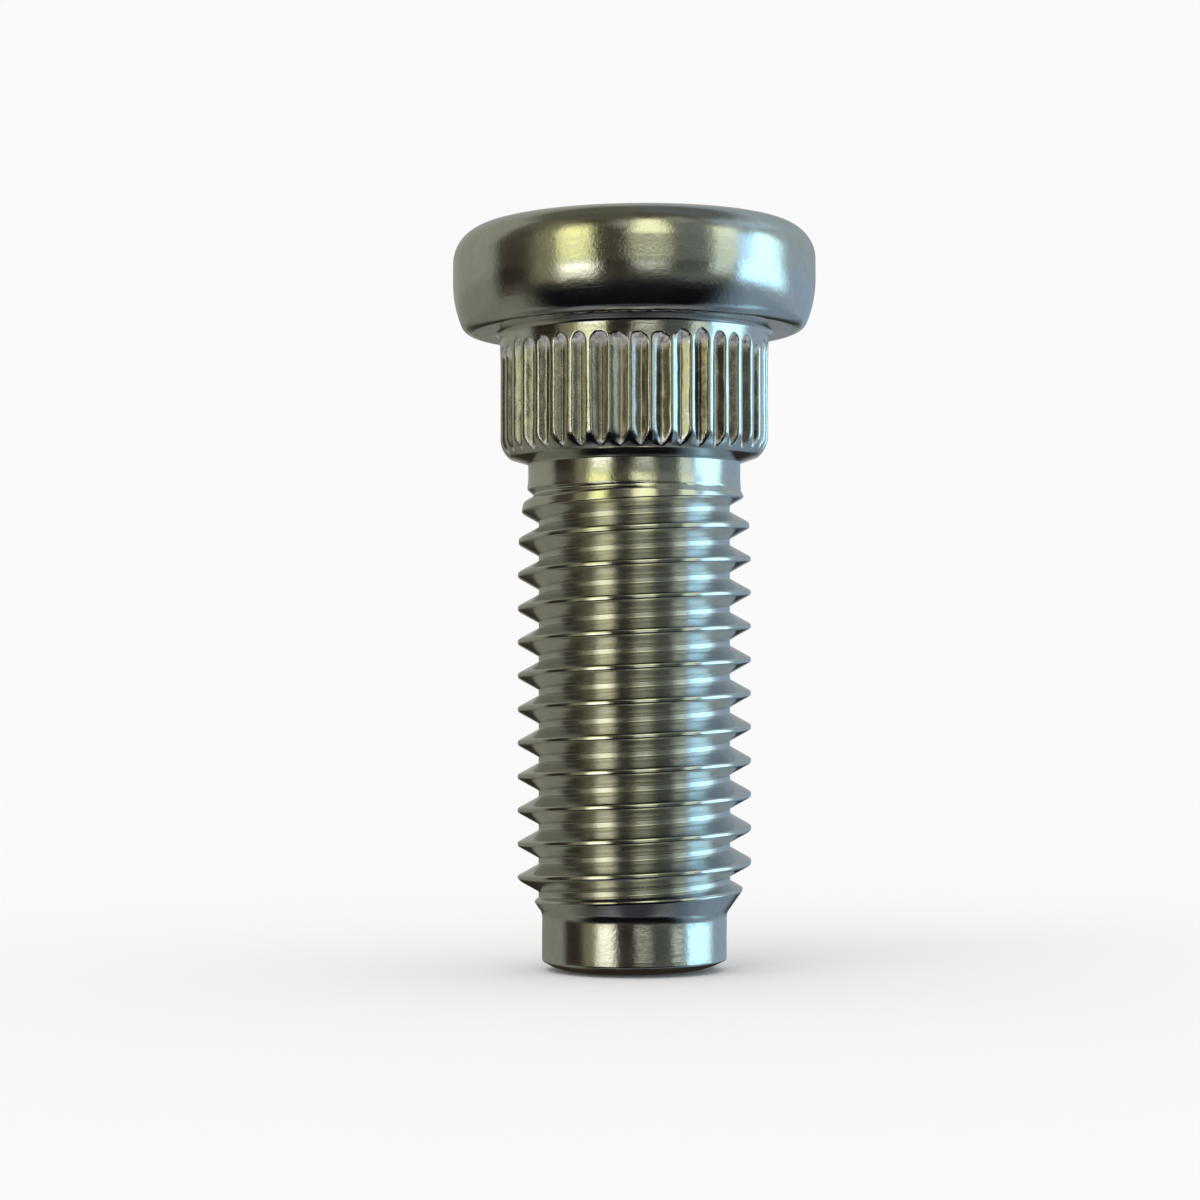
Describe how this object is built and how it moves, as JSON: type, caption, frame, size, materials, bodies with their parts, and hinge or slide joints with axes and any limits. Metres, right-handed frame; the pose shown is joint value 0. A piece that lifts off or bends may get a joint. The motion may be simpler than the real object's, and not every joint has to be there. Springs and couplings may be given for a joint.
{
  "type": "wheel stud",
  "caption": "Press-in wheel stud: a rounded head over a serrated shoulder, a plain neck, a rolled right-hand metric thread and a plain lead-in point.",
  "frame": {"origin": "centre of the seat plane under the head, on the stud's axis", "axes": "+Z along the stud's axis towards the head's crown; the thread and the point are towards -Z; -Y is the side the viewer faces"},
  "size_m": [0.0218, 0.0218, 0.0445],
  "materials": {
    "zinc_plated_steel": "bright clear zinc plate over cold-forged and rolled steel"
  },
  "bodies": {
    "root": {"wheel_stud": "zinc_plated_steel"}
  },
  "joints": []
}
